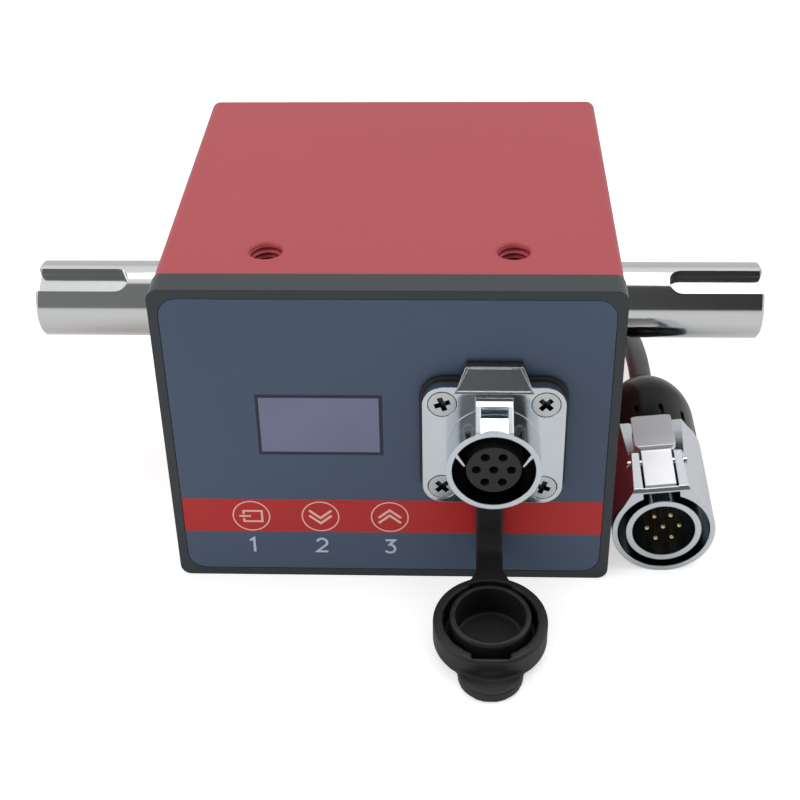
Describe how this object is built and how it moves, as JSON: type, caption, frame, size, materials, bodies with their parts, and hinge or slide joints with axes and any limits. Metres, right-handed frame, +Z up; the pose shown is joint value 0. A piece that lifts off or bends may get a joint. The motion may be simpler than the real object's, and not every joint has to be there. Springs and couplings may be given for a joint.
{
  "type": "rotary torque sensor",
  "caption": "Rotary torque sensor: keyed through-shaft on ball bearings in a block housing, with a key and display panel, a capped receptacle and its unplugged lead.",
  "frame": {"origin": "on the base plane under the middle of the shaft", "axes": "+X along the shaft, the panel faces -Y, +Z up"},
  "size_m": [0.1514, 0.2064, 0.0665],
  "materials": {
    "red_anodised": "red anodised, satin",
    "dark_anodised": "dark anodised, satin",
    "overlay_print": "printed polycarbonate film",
    "ground_steel": "ground bright",
    "bearing_steel": "ground and polished",
    "cage_brass": "machined",
    "plated_zinc": "bright nickel plated die casting",
    "screw_steel": "plated",
    "black_plastic": "moulded black nylon",
    "black_rubber": "moulded black rubber",
    "cable_sheath": "black PVC sheath",
    "core_wire": "coloured wire insulation",
    "contact_gold": "gold plated",
    "standoff_brass": "turned brass",
    "board_green": "solder mask",
    "connector_ivory": "moulded nylon",
    "display_glass": "display module",
    "key_grey": "moulded plunger",
    "gauge_foil": "polyimide foil",
    "sleeve_polymer": "machined polymer",
    "copper_winding": "enamelled copper",
    "bare_aluminium": "machined",
    "disc_steel": "etched sheet"
  },
  "bodies": {
    "housing": {"housing": "red_anodised", "front_cover": "dark_anodised", "cover_screws": "screw_steel", "overlay": "overlay_print", "display_panel": "display_glass", "display_frame": "black_plastic", "main_board": "board_green", "board_standoffs": "standoff_brass", "board_screws": "screw_steel", "board_connectors": "connector_ivory", "key_switches": "black_plastic", "receptacle_shell": "plated_zinc", "receptacle_insert": "black_plastic", "receptacle_contacts": "contact_gold", "receptacle_screws": "screw_steel", "socket_lead": "core_wire", "cap_tether": "black_rubber", "left_bearing_outer": "bearing_steel", "right_bearing_outer": "bearing_steel", "left_end_cap": "red_anodised", "right_end_cap": "red_anodised", "end_cap_screws": "screw_steel", "stator_winding": "copper_winding", "stator_bracket": "bare_aluminium", "bracket_screws": "screw_steel", "speed_pickup": "black_plastic", "signal_leads": "core_wire", "plug_shell": "plated_zinc", "latch_pin": "plated_zinc", "plug_sleeve": "plated_zinc", "plug_insert": "black_plastic", "plug_pins": "contact_gold", "plug_rear_shell": "black_plastic", "cable_seal": "black_rubber", "cable_lead": "cable_sheath", "cable_coil": "cable_sheath", "coil_tie": "black_plastic", "cable_cores": "core_wire"},
    "shaft": {"shaft": "ground_steel", "strain_gauges": "gauge_foil", "left_bearing_inner": "bearing_steel", "right_bearing_inner": "bearing_steel", "rotor_sleeve": "sleeve_polymer", "rotor_board": "board_green", "rotor_winding": "copper_winding", "speed_disc": "disc_steel"},
    "left_balls": {"left_bearing_balls": "bearing_steel", "left_bearing_cage": "cage_brass"},
    "right_balls": {"right_bearing_balls": "bearing_steel", "right_bearing_cage": "cage_brass"},
    "key_1": {"key_1": "key_grey"},
    "key_2": {"key_2": "key_grey"},
    "key_3": {"key_3": "key_grey"},
    "dust_cap": {"dust_cap": "black_rubber"},
    "plug_latch": {"plug_latch": "plated_zinc"}
  },
  "joints": [
    {"name": "shaft_spin", "type": "hinge", "parent": "housing", "child": "shaft", "pos_m": [0, 0, 0.0383], "axis": [1, 0, 0], "continuous": true},
    {"name": "left_cage_spin", "type": "hinge", "parent": "housing", "child": "left_balls", "pos_m": [0, 0, 0.0383], "axis": [1, 0, 0], "continuous": true},
    {"name": "right_cage_spin", "type": "hinge", "parent": "housing", "child": "right_balls", "pos_m": [0, 0, 0.0383], "axis": [1, 0, 0], "continuous": true},
    {"name": "key_1_press", "type": "slide", "parent": "housing", "child": "key_1", "axis": [0, 1, 0], "range_m": [0, 0.0003], "stiffness_N_per_m": 5000},
    {"name": "key_2_press", "type": "slide", "parent": "housing", "child": "key_2", "axis": [0, 1, 0], "range_m": [0, 0.0003], "stiffness_N_per_m": 5000},
    {"name": "key_3_press", "type": "slide", "parent": "housing", "child": "key_3", "axis": [0, 1, 0], "range_m": [0, 0.0003], "stiffness_N_per_m": 5000},
    {"name": "cap_swing", "type": "hinge", "parent": "housing", "child": "dust_cap", "pos_m": [0.0192, -0.0458, 0.013], "axis": [-1, 0, 0], "range_deg": [0, 55]},
    {"name": "latch_press", "type": "hinge", "parent": "housing", "child": "plug_latch", "pos_m": [0.0527, -0.03298, 0.02017], "axis": [-0.9924, 0.0139, -0.1219], "range_deg": [0, 5], "stiffness_Nm_per_rad": 0.6}
  ],
  "couplings": [
    {"joint": "left_cage_spin", "follows": "shaft_spin", "ratio": 0.40962},
    {"joint": "right_cage_spin", "follows": "shaft_spin", "ratio": 0.40962}
  ]
}
